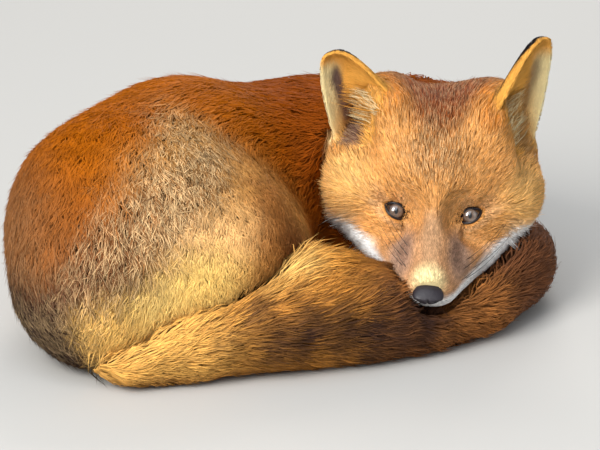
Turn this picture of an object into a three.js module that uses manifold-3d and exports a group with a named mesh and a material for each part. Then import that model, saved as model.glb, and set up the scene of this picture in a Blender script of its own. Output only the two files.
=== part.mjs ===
// A red fox lying curled on its left side, awake, with its chin laid on its brush. Millimetres, +Z up.
// The spine runs from the tail root at the left front, round the back, to the head at the right front.
// The outline is that of the coat, out to its tips. Left and right are the animal's own sides.

import * as THREE from "three";
import { mergeVertices } from "three/addons/utils/BufferGeometryUtils.js";
import Module from "manifold-3d";

const wasm = await Module();
wasm.setup();

// ---- Driving dimensions ----

const GAP = 0.35; // clearance left by a parting cut
const ROOM = 0.6; // by how much a piece is grown before its neighbour is cut with it
const SPACE = 600; // larger than the whole animal
const BODY_CELL = 27; // facet sizes
const TAIL_CELL = 22;
const LEG_CELL = 11.5;
const HEAD_CELL = 12.5;
const FACE_CELL = 8;

// Stations along the spine: x, y, z and radius.
const SPINE = [
  [-150, -88, 66, 58],
  [-126, -28, 80, 81],
  [-86, 32, 84, 80],
  [-36, 74, 78, 62],
  [14, 90, 76, 68],
  [70, 86, 76, 68],
];
// The side that the animal lies on, pressed broad against the floor.
const LOWER_SIDE = [
  [-134, -84, 44, 52],
  [-112, -20, 48, 58],
  [-62, 44, 46, 56],
  [6, 78, 46, 56],
  [70, 74, 44, 54],
];
const NECK = [
  [70, 84, 72, 66],
  [108, 70, 88, 54],
  [112, 46, 112, 47],
];
const THIGH = [
  [-96, -58, 90, 61],
  [-66, -54, 72, 58],
  [-28, -30, 60, 40],
];
const TAIL = [
  [-150, -132, 18, 15],
  [-118, -128, 20, 20],
  [-78, -116, 26, 26],
  [-40, -100, 36, 34],
  [0, -84, 42, 42],
  [46, -75, 34, 34.5],
  [88, -62, 24, 25],
  [126, -36, 26, 26],
  [152, 8, 34, 31],
  [160, 48, 30, 25],
  [156, 76, 20, 13],
];
// The feet lie folded between belly, brush and chin.
const LEGS = {
  hind_foot_right: [[-84, -84, 18, 14], [-34, -54, 14, 11], [-8, -42, 13, 14]],
  hind_foot_left: [[-58, -34, 16, 13], [-12, -10, 13, 11], [12, -2, 12, 13]],
  foreleg_right: [[82, 30, 24, 17], [46, -12, 17, 12.5], [26, -26, 14, 14]],
  foreleg_left: [[124, 6, 20, 15], [80, -26, 15, 12], [58, -38, 13, 14]],
};

// Where the animal is parted: planes, and the egg that parts the upper thigh from the trunk.
const BACK_PLANE = { point: [-100, 8, 80], normal: [0.61, 0.79, 0] };
const RIB_PLANE = { point: [-30, 64, 80], normal: [0.92, 0.4, 0] };
const NECK_PLANE = { point: [92, 78, 84], normal: [0.66, -0.6, 0.45] };
const HEAD_PLANE = { point: [98, 44, 112], normal: [0, -0.97, 0.24] };
const TAIL_PLANES = [
  { point: [-66, -112, 28], normal: [0.94, 0.33, 0] },
  { point: [24, -79, 38], normal: [0.97, 0.23, 0] },
  { point: [128, -36, 26], normal: [0.6, 0.8, 0] },
];
const THIGH_EGG = { centre: [-62, -64, 76], radii: [90, 66, 92] };

// The head's own frame: origin midway between the eyes, x across, y back through the skull, z up.
const EYE_LEVEL = new THREE.Vector3(95.5, -21, 88);
const HEAD_PITCH = THREE.MathUtils.degToRad(26); // the muzzle points down by this much
const HEAD_ROLL = THREE.MathUtils.degToRad(3);
const HEAD_YAW = THREE.MathUtils.degToRad(-2.4);
const EYE_RADIUS = 10;
const EYE_PLACE = [26, 6, -4.5];
const NOSE_PLACE = [0, -78, -2];
const NOSE_RADII = [11, 7, 7.6];

// Each ear: the middle of its base, its tip, how many degrees its mouth is turned outwards, its half-width
// and the depth of its cup.
const EARS = {
  ear_right: { base: [53, 10, 133], tip: [22.5, 0, 201], turn: -12, halfWidth: 30, depth: 24 },
  ear_left: { base: [156, 10, 137], tip: [175.5, 0, 212], turn: 44, halfWidth: 27, depth: 18 },
};
const EAR_ROWS = 7;
const EAR_COLUMNS = 7;
const EAR_SINK = 0.22; // the share of its height by which an ear is rooted below its base
const EAR_WRAP = Math.PI / 2.3; // how far each half of the cup bends round
const EAR_WALL = 5.5;
const EAR_RIM = 2.6;

const FLANK = { color: 0xb05a1c, roughness: 0.9, metalness: 0 };
const HAUNCH = { color: 0xb98a56, roughness: 0.9, metalness: 0 };
const FACE = { color: 0xc8823c, roughness: 0.85, metalness: 0 };
const EAR = { color: 0xd8a050, roughness: 0.85, metalness: 0 };
const BRUSH = { color: 0x9a5c30, roughness: 0.9, metalness: 0 };
const STOCKING = { color: 0x2a2220, roughness: 0.9, metalness: 0 };
const IRIS = { color: 0x8f8578, roughness: 0.05, metalness: 0 };
const NOSE_PAD = { color: 0x2c2830, roughness: 0.4, metalness: 0 };

// ---- Masses: distances to a surface, negative inside and positive outside ----

// A limb that tapers from a ball at one end to a ball at the other.
function limb(from, to, fromRadius, toRadius) {
  const along = to.map((value, axis) => value - from[axis]);
  const span = along.reduce((sum, value) => sum + value * value, 0);
  const drop = fromRadius - toRadius;
  const slant = span - drop * drop;
  return (x, y, z) => {
    const rel = [x - from[0], y - from[1], z - from[2]];
    const near = rel[0] * along[0] + rel[1] * along[1] + rel[2] * along[2];
    const far = near - span;
    const aside = rel.reduce((sum, value, axis) => sum + (value * span - along[axis] * near) ** 2, 0);
    const turn = Math.sign(drop) * drop * drop * aside;
    if (Math.sign(far) * slant * far * far * span > turn) {
      return Math.sqrt(aside + far * far * span) / span - toRadius;
    }
    if (Math.sign(near) * slant * near * near * span < turn) {
      return Math.sqrt(aside + near * near * span) / span - fromRadius;
    }
    return (Math.sqrt(aside * slant / span) + near * drop) / span - fromRadius;
  };
}

// A ball stretched to three half-widths.
function ball(centre, radii) {
  return (x, y, z) => {
    const rel = [x - centre[0], y - centre[1], z - centre[2]];
    const size = Math.hypot(...rel.map((value, axis) => value / radii[axis]));
    const slope = Math.hypot(...rel.map((value, axis) => value / radii[axis] ** 2));
    return slope < 1e-9 ? -Math.min(...radii) : size * (size - 1) / slope;
  };
}

// A string of limbs through a list of stations.
function chain(stations) {
  return stations.slice(1).map((station, index) => {
    const last = stations[index];
    return limb(last.slice(0, 3), station.slice(0, 3), last[3], station[3]);
  });
}

// Masses that flow into each other over the given width.
function flow(masses, width) {
  return (x, y, z) => {
    let distance = masses[0](x, y, z);
    for (const mass of masses.slice(1)) {
      const other = mass(x, y, z);
      const overlap = Math.max(width - Math.abs(distance - other), 0) / width;
      distance = Math.min(distance, other) - overlap * overlap * width / 4;
    }
    return distance;
  };
}

// A mass with a hollow pressed softly into it.
function carve(mass, hollow, width) {
  const left = flow([(x, y, z) => -mass(x, y, z), hollow], width);
  return (x, y, z) => -left(x, y, z);
}

// The same mass on both sides of the head.
function bothSides(make) {
  return [make(-1), make(1)];
}

const headToWorld = new THREE.Matrix4()
  .makeRotationZ(HEAD_YAW)
  .multiply(new THREE.Matrix4().makeRotationY(HEAD_ROLL))
  .multiply(new THREE.Matrix4().makeRotationX(HEAD_PITCH))
  .setPosition(EYE_LEVEL);
const worldToHead = headToWorld.clone().invert();

// A mass that is given in the head's frame, read in the world's.
function inHeadFrame(mass) {
  const point = new THREE.Vector3();
  return (x, y, z) => {
    point.set(x, y, z).applyMatrix4(worldToHead);
    return mass(point.x, point.y, point.z);
  };
}

const bodyMass = flow([...chain(SPINE), ...chain(LOWER_SIDE), ...chain(NECK), ...chain(THIGH)], 26);
const tailMass = flow(chain(TAIL), 14);

// Braincase, brow, cheek ruffs, the roots of the ears and the tufts behind them.
const cranium = flow([
  ball([0, 48, 15], [48, 42, 39]),
  ball([0, 14, 12], [34, 28, 20]),
  ...bothSides(side => ball([side * 44, 36, -16], [35, 34, 32])),
  ...bothSides(side => limb([side * 38, 50, 40], [side * 50, 42, 0], 17, 22)),
  ...bothSides(side => limb([side * 36, 80, 36], [side * 30, 60, 20], 19, 30)),
], 22);
// Muzzle, its bridge, the chin, the lips and the jaw.
const muzzle = flow([
  limb([0, 6, -10], [0, -60, -7], 24, 15),
  limb([0, 2, 2], [0, -64, 2], 13, 9),
  limb([0, 4, -28], [0, -54, -19], 15, 8),
  ...bothSides(side => limb([side * 10, -62, -12], [side * 34, 4, -30], 10, 20)),
  ...bothSides(side => ball([side * 26, 30, -34], [28, 34, 20])),
], 12);
const sockets = bothSides(side => ball([side * 31, -11, -5], [15, 13, 12]));
const skull = sockets.reduce((mass, socket) => carve(mass, socket, 8), flow([cranium, muzzle], 14));
const headMass = flow([inHeadFrame(skull), ...chain(NECK)], 20);

// ---- From masses to faceted solids ----

// The corners of a lattice cell, its edges, and the four edges round each of its faces.
const CORNERS = [0, 1, 2, 3, 4, 5, 6, 7].map(bits => [bits & 1, (bits >> 1) & 1, (bits >> 2) & 1]);
const EDGES = [0, 1, 2].flatMap(axis => CORNERS
  .map((corner, from) => ({ from, to: from | (1 << axis), axis }))
  .filter(edge => !CORNERS[edge.from][axis]));
const FACES = [0, 1, 2].flatMap(axis => [0, 1].map(side => EDGES
  .map((edge, index) => ({ index, ...edge }))
  .filter(edge => edge.axis !== axis && CORNERS[edge.from][axis] === side)));

// Lattice lines from low to high, a cell apart, or closer in the fine stretch.
function ruler(low, high, cell, fine = { from: high, to: high, cell }) {
  const lines = [low];
  while (lines[lines.length - 1] < high) {
    const last = lines[lines.length - 1];
    lines.push(last + (last >= fine.from && last < fine.to ? fine.cell : cell));
  }
  return lines;
}

// Groups the crossed edges of one cell into sheets, so that two surfaces in a cell stay apart.
function sheetsOf(inside) {
  const sheet = EDGES.map((edge, index) => (inside[edge.from] !== inside[edge.to] ? index : -1));
  const join = (keep, drop) => {
    sheet.forEach((label, index) => {
      sheet[index] = label === drop ? keep : label;
    });
  };
  for (const face of FACES) {
    const crossed = face.filter(edge => sheet[edge.index] >= 0);
    for (const one of crossed) {
      for (const other of crossed.filter(edge => edge !== one)) {
        const shared = [one.from, one.to].find(corner => corner === other.from || corner === other.to);
        if (crossed.length === 2 || (shared !== undefined && inside[shared])) {
          join(sheet[one.index], sheet[other.index]);
        }
      }
    }
  }
  return sheet;
}

// Walks a point down the slope of the mass until it lies on the surface.
function settle(mass, cell, start) {
  const point = [...start];
  const probe = 0.05;
  for (let round = 0; round < 4; round++) {
    const here = mass(...point);
    const slope = [0, 1, 2].map(axis => {
      const aside = [...point];
      aside[axis] += probe;
      return (mass(...aside) - here) / probe;
    });
    const steepness = Math.max(slope.reduce((sum, value) => sum + value * value, 0), 0.2);
    slope.forEach((value, axis) => {
      point[axis] -= THREE.MathUtils.clamp(here * value / steepness, -cell / 4, cell / 4);
    });
  }
  const reach = cell / 2;
  return point.map((value, axis) => THREE.MathUtils.clamp(value, start[axis] - reach, start[axis] + reach));
}

function toSolid(points, triangles) {
  return new wasm.Manifold(new wasm.Mesh({
    numProp: 3,
    vertProperties: new Float32Array(points),
    triVerts: new Uint32Array(triangles),
  }));
}

// A closed faceted solid of a mass: one vertex for each sheet in each crossed cell of the lattice.
function facet(mass, rulers) {
  const count = rulers.map(lines => lines.length);
  const cell = Math.max(...rulers.map(lines => lines[1] - lines[0]));
  const step = [1, count[0], count[0] * count[1]];
  const onRim = place => place.some((index, axis) => index === 0 || index === count[axis] - 1);
  const values = new Float32Array(step[2] * count[2]);
  const everyPlace = visit => {
    for (let k = 0; k < count[2]; k++) {
      for (let j = 0; j < count[1]; j++) {
        for (let i = 0; i < count[0]; i++) {
          visit([i, j, k], i + j * step[1] + k * step[2]);
        }
      }
    }
  };
  everyPlace((place, base) => {
    const distance = mass(...place.map((index, axis) => rulers[axis][index]));
    values[base] = onRim(place) ? Math.max(distance, cell / 2) : distance;
  });

  const vertexAt = new Map();
  const points = [];
  everyPlace((place, base) => {
    if (place.some((index, axis) => index === count[axis] - 1)) {
      return;
    }
    const value = CORNERS.map(bits => values[base + bits[0] + bits[1] * step[1] + bits[2] * step[2]]);
    const sheet = sheetsOf(value.map(distance => distance < 0));
    for (const label of new Set(sheet.filter(mark => mark >= 0))) {
      const sum = new THREE.Vector3();
      const members = EDGES.filter((edge, index) => sheet[index] === label);
      for (const edge of members) {
        const share = value[edge.from] / (value[edge.from] - value[edge.to]);
        const corner = new THREE.Vector3(...CORNERS[edge.from]);
        sum.add(corner.lerp(new THREE.Vector3(...CORNERS[edge.to]), share));
      }
      sum.divideScalar(members.length);
      const start = sum.toArray().map((share, axis) => {
        const lines = rulers[axis];
        return THREE.MathUtils.lerp(lines[place[axis]], lines[place[axis] + 1], share);
      });
      sheet.forEach((mark, index) => {
        if (mark === label) {
          vertexAt.set(base * EDGES.length + index, points.length / 3);
        }
      });
      points.push(...settle(mass, cell, start));
    }
  });

  // The four cells round a lattice edge, each with its own number for that edge.
  const around = [[1, 1], [0, 1], [0, 0], [1, 0]];
  const edgeOf = [0, 1, 2].map(axis => around.map(([u, v]) => EDGES.findIndex(edge => {
    const corner = CORNERS[edge.from];
    return edge.axis === axis && corner[(axis + 1) % 3] === u && corner[(axis + 2) % 3] === v;
  })));
  const apart = (m, n) => Math.hypot(...[0, 1, 2].map(axis => points[3 * m + axis] - points[3 * n + axis]));
  const triangles = [];
  everyPlace((place, base) => {
    for (const axis of [0, 1, 2].filter(direction => place[direction] < count[direction] - 1)) {
      const inside = values[base] < 0;
      if (inside !== (values[base + step[axis]] < 0)) {
        const ring = around.map(([u, v], index) => {
          const neighbour = base - u * step[(axis + 1) % 3] - v * step[(axis + 2) % 3];
          return vertexAt.get(neighbour * EDGES.length + edgeOf[axis][index]);
        });
        if (!inside) {
          ring.reverse();
        }
        const turn = apart(ring[0], ring[2]) < apart(ring[1], ring[3]) ? 0 : 1;
        const [a, b, c, d] = [0, 1, 2, 3].map(index => ring[(index + turn) % 4]);
        triangles.push(a, b, c, a, c, d);
      }
    }
  });
  return toSolid(points, triangles);
}

function fromGeometry(geometry) {
  const bare = geometry.clone();
  bare.deleteAttribute("normal");
  bare.deleteAttribute("uv");
  const merged = mergeVertices(bare, 1e-4);
  return toSolid(merged.attributes.position.array, merged.index.array);
}

function toGeometry(solid) {
  const mesh = solid.getMesh();
  const geometry = new THREE.BufferGeometry();
  geometry.setAttribute("position", new THREE.BufferAttribute(mesh.vertProperties, 3));
  geometry.setIndex(new THREE.BufferAttribute(mesh.triVerts, 1));
  geometry.computeVertexNormals();
  return geometry;
}

// The same solid, grown a little all over.
function grown(solid) {
  const { attributes, index } = toGeometry(solid);
  const normals = attributes.normal.array;
  return toSolid(attributes.position.array.map((value, place) => value + ROOM * normals[place]), index.array);
}

// The half of space behind a plane, which starts a little short of it.
function halfSpace(point, normal, setBack = GAP / 2) {
  const facing = new THREE.Vector3(...normal).normalize();
  const block = new THREE.BoxGeometry(2 * SPACE, 2 * SPACE, SPACE);
  block.translate(0, 0, -SPACE / 2 - setBack);
  block.applyQuaternion(new THREE.Quaternion().setFromUnitVectors(new THREE.Vector3(0, 0, 1), facing));
  block.translate(...point);
  return fromGeometry(block);
}

const underFloor = halfSpace([0, 0, 0], [0, 0, 1], 0);
const onFloor = solid => solid.subtract(underFloor);
const without = (solid, others) => others.reduce((rest, other) => rest.subtract(other), solid);
const before = (solid, plane) => solid.intersect(halfSpace(plane.point, plane.normal));
const beyond = (solid, plane, setBack) => {
  const away = plane.normal.map(value => -value);
  return solid.intersect(halfSpace(plane.point, away, setBack));
};

// ---- The pieces ----

// A point of an ear's sheet, from its outer rim (side -1) to its inner rim (side 1), and from root to tip.
function earPoint(ear, side, height, isBack) {
  const axis = new THREE.Vector3(...ear.tip).sub(new THREE.Vector3(...ear.base));
  const turn = THREE.MathUtils.degToRad(ear.turn);
  const facing = new THREE.Vector3(Math.cos(turn), Math.sin(turn), 0).cross(axis).normalize();
  const across = new THREE.Vector3().crossVectors(axis, facing).normalize();
  const up = Math.max(height, 0);
  const narrowing = Math.sqrt(1 - up ** 2.4) * (1 - 0.42 * up);
  const halfWidth = ear.halfWidth * (0.1 + 0.9 * narrowing);
  const depth = ear.depth * (halfWidth / ear.halfWidth) ** 1.2;
  const wall = isBack ? EAR_RIM + (EAR_WALL - EAR_RIM) * (1 - side * side) : 0;
  return new THREE.Vector3(...ear.base)
    .addScaledVector(axis, height)
    .addScaledVector(across, (halfWidth + wall) * Math.sin(side * EAR_WRAP))
    .addScaledVector(facing, -(depth + wall) * Math.cos(side * EAR_WRAP));
}

// A pinna: a cupped sheet, thickest down its back, closed round its rims, its root and its tip.
function pinna(ear) {
  const points = [];
  const at = (row, column, wall) => (wall * (EAR_ROWS + 1) + row) * (EAR_COLUMNS + 1) + column;
  for (const isBack of [false, true]) {
    for (let row = 0; row <= EAR_ROWS; row++) {
      const height = (1 + EAR_SINK) * Math.sin(row / EAR_ROWS * Math.PI / 2) ** 0.9 - EAR_SINK;
      for (let column = 0; column <= EAR_COLUMNS; column++) {
        points.push(...earPoint(ear, 2 * column / EAR_COLUMNS - 1, height, isBack).toArray());
      }
    }
  }
  const triangles = [];
  const quad = (a, b, c, d) => triangles.push(a, b, c, a, c, d);
  const [top, side] = [EAR_ROWS, EAR_COLUMNS];
  for (let row = 0; row < EAR_ROWS; row++) {
    for (let column = 0; column < EAR_COLUMNS; column++) {
      quad(at(row, column, 0), at(row, column + 1, 0), at(row + 1, column + 1, 0), at(row + 1, column, 0));
      quad(at(row, column, 1), at(row + 1, column, 1), at(row + 1, column + 1, 1), at(row, column + 1, 1));
    }
    quad(at(row, 0, 0), at(row + 1, 0, 0), at(row + 1, 0, 1), at(row, 0, 1));
    quad(at(row, side, 0), at(row, side, 1), at(row + 1, side, 1), at(row + 1, side, 0));
  }
  for (let column = 0; column < EAR_COLUMNS; column++) {
    quad(at(0, column, 0), at(0, column, 1), at(0, column + 1, 1), at(0, column + 1, 0));
    quad(at(top, column, 0), at(top, column + 1, 0), at(top, column + 1, 1), at(top, column, 1));
  }
  return toSolid(points, triangles);
}

// An egg-shaped piece in the head's frame.
function egg(centre, radii, segments) {
  const shape = new THREE.SphereGeometry(1, segments, Math.round(segments * 0.6));
  shape.scale(...radii);
  shape.translate(...centre);
  return fromGeometry(shape.applyMatrix4(headToWorld));
}

const pieces = {};
const finishes = {};

function keep(name, solid, finish) {
  // A cut may leave loose chips: only the main body counts.
  pieces[name] = solid.decompose().sort((one, other) => other.volume() - one.volume())[0];
  finishes[name] = finish;
}

// The folded feet are whole, and what lies on them is cut to fit.
const legRoom = Object.entries(LEGS).map(([name, stations]) => {
  const margin = 26;
  const rulers = [0, 1, 2].map(axis => {
    const places = stations.map(station => station[axis]);
    return ruler(Math.min(...places) - margin, Math.max(...places) + margin, LEG_CELL);
  });
  const leg = facet(flow(chain(stations), 6), rulers);
  keep(name, onFloor(leg), STOCKING);
  return grown(leg);
});

keep("nose", egg(NOSE_PLACE, NOSE_RADII, 12), NOSE_PAD);
for (const [name, side] of [["eye_right", -1], ["eye_left", 1]]) {
  keep(name, egg([side * EYE_PLACE[0], EYE_PLACE[1], EYE_PLACE[2]], Array(3).fill(EYE_RADIUS), 14), IRIS);
}
const faceRoom = ["nose", "eye_right", "eye_left"].map(name => grown(pieces[name]));

const wholeHead = facet(headMass, [
  ruler(-12, 205, HEAD_CELL, { from: 50, to: 138, cell: FACE_CELL }),
  ruler(-120, 100, HEAD_CELL, { from: -110, to: 0, cell: FACE_CELL }),
  ruler(8, 200, HEAD_CELL, { from: 30, to: 112, cell: FACE_CELL }),
]);
const headRoom = beyond(grown(wholeHead), HEAD_PLANE, -GAP / 2);
keep("head", without(beyond(wholeHead, HEAD_PLANE), [...legRoom, ...faceRoom]), FACE);
for (const [name, ear] of Object.entries(EARS)) {
  keep(name, pinna(ear).subtract(headRoom), EAR);
}

const wholeBody = facet(bodyMass, [
  ruler(-240, 200, BODY_CELL),
  ruler(-190, 190, BODY_CELL),
  ruler(-44, 220, BODY_CELL),
]);
const thighEgg = new THREE.SphereGeometry(1, 14, 9).scale(...THIGH_EGG.radii).translate(...THIGH_EGG.centre);
const thighBound = fromGeometry(thighEgg);
const body = without(onFloor(wholeBody), [...legRoom, headRoom]);
const trunk = body.subtract(grown(thighBound));
keep("thigh_right", body.intersect(thighBound), HAUNCH);
keep("rump", before(trunk, BACK_PLANE), HAUNCH);
keep("loin", before(beyond(trunk, BACK_PLANE), RIB_PLANE), FLANK);
keep("chest", before(beyond(trunk, RIB_PLANE), NECK_PLANE), FLANK);
keep("neck", beyond(beyond(trunk, RIB_PLANE), NECK_PLANE), FLANK);

const wholeTail = facet(tailMass, [
  ruler(-190, 210, TAIL_CELL),
  ruler(-170, 110, TAIL_CELL),
  ruler(-30, 100, TAIL_CELL),
]);
const tail = without(onFloor(wholeTail), [grown(wholeBody), headRoom, ...faceRoom, ...legRoom]);
keep("tail_root", before(tail, TAIL_PLANES[0]), BRUSH);
keep("tail_middle", before(beyond(tail, TAIL_PLANES[0]), TAIL_PLANES[1]), BRUSH);
keep("tail_brush", before(beyond(tail, TAIL_PLANES[1]), TAIL_PLANES[2]), BRUSH);
keep("tail_tip", beyond(tail, TAIL_PLANES[2]), BRUSH);

// ---- The scene graph ----

const fox = new THREE.Group();
for (const [name, solid] of Object.entries(pieces)) {
  const mesh = new THREE.Mesh(toGeometry(solid), new THREE.MeshStandardMaterial(finishes[name]));
  mesh.name = name;
  fox.add(mesh);
}

// The origin is the middle of the animal's box, on the floor.
const box = new THREE.Box3().setFromObject(fox);
fox.position.set(-(box.min.x + box.max.x) / 2, -(box.min.y + box.max.y) / 2, -box.min.z);

export default fox;
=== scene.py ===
import math

import bmesh
import bpy
import numpy as np
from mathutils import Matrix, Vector
from mathutils.bvhtree import BVHTree
from mathutils.kdtree import KDTree


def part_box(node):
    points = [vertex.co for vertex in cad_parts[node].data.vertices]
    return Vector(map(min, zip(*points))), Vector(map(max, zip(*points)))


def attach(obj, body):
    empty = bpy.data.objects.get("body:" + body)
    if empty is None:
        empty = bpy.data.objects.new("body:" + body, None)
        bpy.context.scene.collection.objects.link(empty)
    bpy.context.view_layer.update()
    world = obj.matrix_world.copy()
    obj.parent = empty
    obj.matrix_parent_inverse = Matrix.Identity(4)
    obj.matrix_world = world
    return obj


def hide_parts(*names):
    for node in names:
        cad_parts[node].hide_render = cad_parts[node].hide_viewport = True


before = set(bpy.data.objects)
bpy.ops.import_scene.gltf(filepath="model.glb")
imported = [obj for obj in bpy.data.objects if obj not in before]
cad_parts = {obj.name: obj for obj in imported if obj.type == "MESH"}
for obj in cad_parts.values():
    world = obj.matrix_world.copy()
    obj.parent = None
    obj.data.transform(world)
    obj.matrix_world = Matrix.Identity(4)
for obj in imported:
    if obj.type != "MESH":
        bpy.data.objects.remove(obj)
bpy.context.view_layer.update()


# ---- The hide ----
# One skin over the whole animal, stretched over the form that a taxidermist carves: trunk, neck, head,
# legs and brush in one piece, with the ears sewn in. It lies under the coat, by the coat's depth.

TRUNK = ("neck", "chest", "loin", "rump", "thigh_right")
TAIL = ("tail_root", "tail_middle", "tail_brush", "tail_tip")
LEGS = ("hind_foot_right", "hind_foot_left", "foreleg_right", "foreleg_left")
EARS = ("ear_right", "ear_left")
PARTS = ("head", *TRUNK, *TAIL, *LEGS, *EARS)
COAT_DEPTH = {"head": 0.0040, "neck": 0.010, "chest": 0.009, "loin": 0.009, "rump": 0.009,
              "thigh_right": 0.007, "tail_root": 0.006, "tail_middle": 0.009, "tail_brush": 0.009,
              "tail_tip": 0.009, "hind_foot_right": 0.003, "hind_foot_left": 0.003,
              "foreleg_right": 0.003, "foreleg_left": 0.003, "ear_right": 0.004, "ear_left": 0.004}
MUZZLE_DEPTH = 0.0016
ORBIT_DEPTH = 0.0006        # round the eyes, out to ORBIT_REACH from their centres
ORBIT_REACH = (0.013, 0.025)
EYE_DROP = 0.0017           # the balls sit this much lower and further out than the CAD's
EYE_SHIFT = 0.0006
EYE_RADIUS = 0.0098
LID_SWELL = 0.0012          # the lids' thickness over the eyeball
EAR_ROOT_RISE = 0.0022      # the head's skin rises by this round the ears, and takes in their roots
EAR_ROOT_REACH = 0.014
EAR_MOUTH_INNER = (0.15, 1.0)   # where the ear's mouth ends towards its inner rim, and at its foot
EAR_MOUTH_FOOT = (-0.14, 0.04)
EAR_SETBACK = 0.0015        # how far behind the hollow of an ear the form of the head is kept
PARTING_CUT = 0.0009        # the solids are grown by this, to close the thin cuts between them
BODY_GRAIN = 0.0044         # size of the skin's faces on the body
HEAD_GRAIN = 0.0020
LEG_GRAIN = 0.0026
FACE = (0.045, 0.022, 0.030)    # the face's finer skin: how wide to each side, how far back, and how high
FACE_FOOT = 0.040               # above the floor
LIDS_REACH = 0.0158             # the lids' still finer skin, from the eyes' centres


def unit(vectors):
    return vectors / np.maximum(np.linalg.norm(vectors, axis=-1, keepdims=True), 1e-9)


def step(value, low, high):
    """0 below low, 1 above high, and a smooth rise between."""
    share = np.clip((value - low) / (high - low), 0, 1)
    return share * share * (3 - 2 * share)


def fall(value, low, high):
    """1 below low, 0 above high, and a smooth fall between."""
    return 1 - step(value, low, high)


def centre(node):
    low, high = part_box(node)
    return np.array((low + high) / 2)


# The head's own frame: its origin lies midway between the eyes, and its axes run across to the animal's
# left, back from the nose, and up.
EYES = ("eye_right", "eye_left")
brow = (centre(EYES[0]) + centre(EYES[1])) / 2
across = unit(centre(EYES[1]) - centre(EYES[0]))
back = brow - centre("nose")
back = unit(back - across * (back @ across))
head_axes = np.stack([across, back, np.cross(across, back)])


def in_head(points):
    return (points - brow) @ head_axes.T


def from_head(places):
    return places @ head_axes + brow


def eye_side(eye):
    return 1 if eye == EYES[1] else -1


def eye_centre(eye):
    return centre(eye) + eye_side(eye) * EYE_SHIFT * across - [0, 0, EYE_DROP]


def off_eyes(points):
    """How far each point lies from the nearer eye's centre."""
    return np.min([np.linalg.norm(points - eye_centre(eye), axis=1) for eye in EYES], axis=0)


def read_points(mesh):
    points = np.empty(len(mesh.vertices) * 3)
    mesh.vertices.foreach_get("co", points)
    return points.reshape(-1, 3)


def write_points(mesh, points):
    mesh.vertices.foreach_set("co", np.ascontiguousarray(points, np.float32).ravel())
    mesh.update()


def read_normals(mesh):
    normals = np.empty(len(mesh.vertices) * 3, np.float32)
    mesh.vertex_normals.foreach_get("vector", normals)
    return normals.reshape(-1, 3).astype(float)


def spread(mesh, values, rounds, share=0.5):
    """Averages values over each vertex's neighbours, the given number of times."""
    edges = np.empty(len(mesh.edges) * 2, np.int32)
    mesh.edges.foreach_get("vertices", edges)
    edges = edges.reshape(-1, 2)
    start, end = np.concatenate([edges, edges[:, ::-1]]).T
    count = np.maximum(np.bincount(start, minlength=len(values)), 1)
    shape = values.shape
    values = values.reshape(len(values), -1).astype(float)
    for _ in range(rounds):
        mean = np.stack([np.bincount(start, column[end], len(values)) for column in values.T], 1)
        values = values + share * (mean / count[:, None] - values)
    return values.reshape(shape)


def new_object(name, data):
    made = bpy.data.objects.new(name, data)
    bpy.context.scene.collection.objects.link(made)
    return made


def worked_object(name, work):
    """An object whose mesh is the one that has been worked on."""
    mesh = bpy.data.meshes.new(name)
    work.to_mesh(mesh)
    work.free()
    return new_object(name, mesh)


def solid_copy(nodes, name, growth=0.0):
    """One mesh object of merged copies of CAD solids, each grown by a little."""
    whole = bmesh.new()
    for node in nodes:
        part = bmesh.new()
        part.from_mesh(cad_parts[node].data)
        bmesh.ops.remove_doubles(part, verts=part.verts, dist=1e-6)
        part.normal_update()
        for vert in part.verts:
            vert.co += vert.normal * growth
        mesh = bpy.data.meshes.new(node + "_copy")
        part.to_mesh(mesh)
        part.free()
        whole.from_mesh(mesh)
        bpy.data.meshes.remove(mesh)
    return worked_object(name, whole)


def bake_modifiers(made):
    evaluated = made.evaluated_get(bpy.context.evaluated_depsgraph_get())
    mesh = bpy.data.meshes.new_from_object(evaluated)
    old = made.data
    made.modifiers.clear()
    made.data = mesh
    bpy.data.meshes.remove(old)


def refine(mesh, chosen):
    """Halves the faces for which chosen(centres) is true."""
    work = bmesh.new()
    work.from_mesh(mesh)
    marked = chosen(np.array([face.calc_center_median() for face in work.faces]))
    faces = [face for face, mark in zip(work.faces, marked) if mark]
    edges = list({edge for face in faces for edge in face.edges})
    bmesh.ops.subdivide_edges(work, edges=edges, cuts=1, use_grid_fill=True)
    work.to_mesh(mesh)
    work.free()
    mesh.update()


def search_tree(nodes):
    """A search tree over CAD solids, and for each of its faces the number of its node in PARTS."""
    corners, faces, labels = [], [], []
    for node in nodes:
        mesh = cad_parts[node].data
        start = len(corners)
        corners.extend(tuple(vert.co) for vert in mesh.vertices)
        faces.extend(tuple(start + index for index in face.vertices) for face in mesh.polygons)
        labels.extend([PARTS.index(node)] * len(mesh.polygons))
    return BVHTree.FromPolygons(corners, faces), np.array(labels)


def nearest_part(points, nodes):
    """For each point, the number in PARTS of the CAD solid that it is nearest to."""
    tree, labels = search_tree(nodes)
    return np.array([labels[tree.find_nearest(Vector(point))[2]] for point in points])


def distance_to(points, nodes):
    tree, _ = search_tree(nodes)
    return np.array([tree.find_nearest(Vector(point))[3] for point in points])


def stretch(form, grain):
    """Draws an even skin over a form, of faces of the size given."""
    remesh = form.modifiers.new("stretch", "REMESH")
    remesh.mode = "VOXEL"
    remesh.voxel_size = grain
    bake_modifiers(form)


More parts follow.
